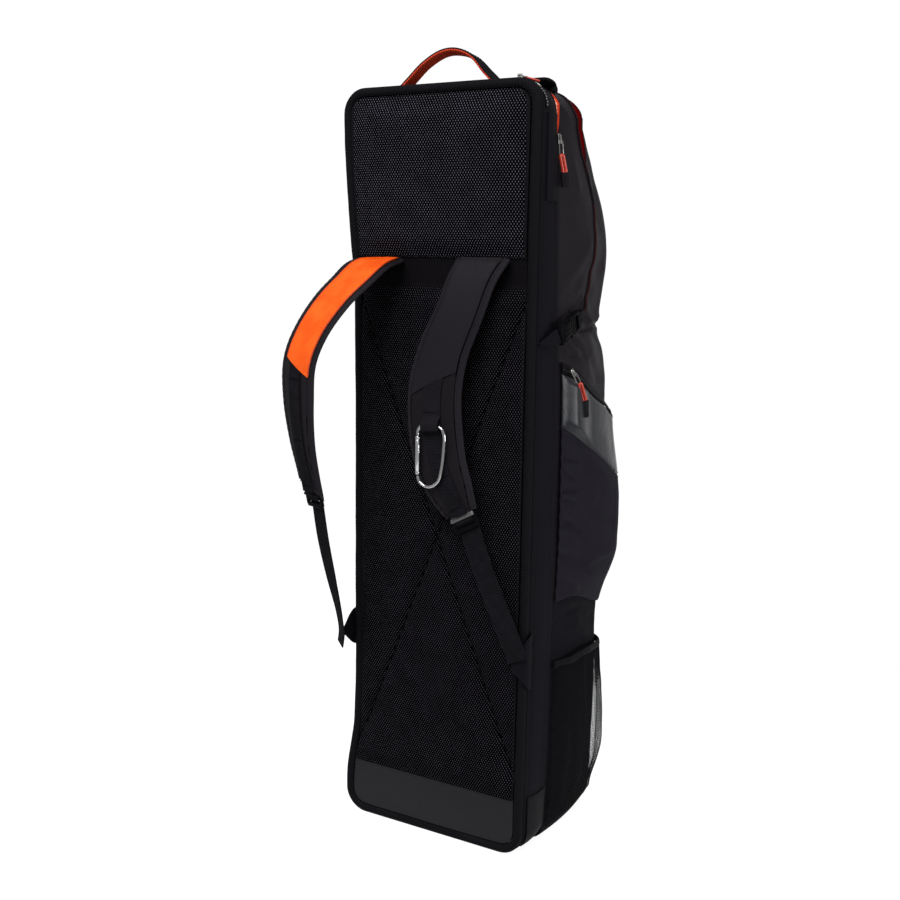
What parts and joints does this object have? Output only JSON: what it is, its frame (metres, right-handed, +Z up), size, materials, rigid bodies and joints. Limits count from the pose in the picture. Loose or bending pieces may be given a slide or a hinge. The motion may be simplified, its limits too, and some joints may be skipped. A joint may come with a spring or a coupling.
{
  "type": "kit bag",
  "caption": "Tall black stick and kit bag worn on the back: padded mesh back panel, curved shoulder straps, top handle, side pocket with a grey panel, net pocket and a steel carabiner.",
  "frame": {"origin": "on the floor under the middle of the base panel", "axes": "+Z up; -Y is the strap side that lies on the wearer's back, +Y the front; +X is the side with the zipped pocket and the net pocket"},
  "size_m": [0.3334, 0.3963, 1.027],
  "materials": {
    "cloth": "satin black woven polyester",
    "webbing": "black ribbed webbing and padded twill",
    "air_mesh": "black open spacer mesh",
    "net": "black stretch net",
    "coated": "dark grey coated tarpaulin, slightly glossy",
    "grey_coated": "grey coated tarpaulin, glossy",
    "orange": "bright orange woven fabric",
    "red": "dark red zip tape and lining",
    "silver_zip": "silver moulded zip teeth",
    "plastic": "black moulded plastic",
    "metal": "bright steel"
  },
  "bodies": {
    "bag": {"adjuster_left": "webbing", "adjuster_right": "webbing", "back_board": "cloth", "back_rim": "webbing", "base_panel": "coated", "buckle_plug": "plastic", "buckle_socket": "plastic", "carabiner_body": "metal", "compression_front": "webbing", "compression_rear": "webbing", "front_panel": "cloth", "front_pocket_lining": "red", "front_zip": "red", "gusset_base": "coated", "gusset_left": "cloth", "gusset_right": "cloth", "gusset_top": "cloth", "handle_lining": "orange", "handle_strap": "webbing", "kick_gusset_right": "coated", "kick_patch": "coated", "ladder_lock_left": "plastic", "ladder_lock_right": "plastic", "lower_mesh_pad": "air_mesh", "main_zip_grip": "plastic", "main_zip_loop": "orange", "main_zip_slider": "metal", "main_zip_tape": "orange", "mesh_binding": "webbing", "mesh_pocket": "net", "pocket_lower_panel": "cloth", "pocket_upper_panel": "grey_coated", "pocket_zip": "webbing", "pocket_zip_grip": "plastic", "pocket_zip_loop": "orange", "pocket_zip_slider": "metal", "seam_tab_left": "webbing", "seam_tab_right": "webbing", "side_panel_left": "cloth", "side_panel_right": "cloth", "stick_zip": "silver_zip", "strap_pad_left": "webbing", "strap_pad_right": "webbing", "strap_panel_left": "orange", "strap_panel_right": "webbing", "strap_webbing_left": "webbing", "strap_webbing_right": "webbing", "top_tab": "webbing", "upper_mesh_pad": "air_mesh", "yoke_panel": "cloth", "zip_guard_right": "webbing"},
    "gate": {"carabiner_gate": "metal"}
  },
  "joints": [
    {"name": "carabiner_gate", "type": "hinge", "parent": "bag", "child": "gate", "pos_m": [-0.0044, -0.1537, 0.4987], "axis": [0, 1, 0], "range_deg": [0, 20], "stiffness_Nm_per_rad": 0.3, "springref_deg": -17.19}
  ]
}
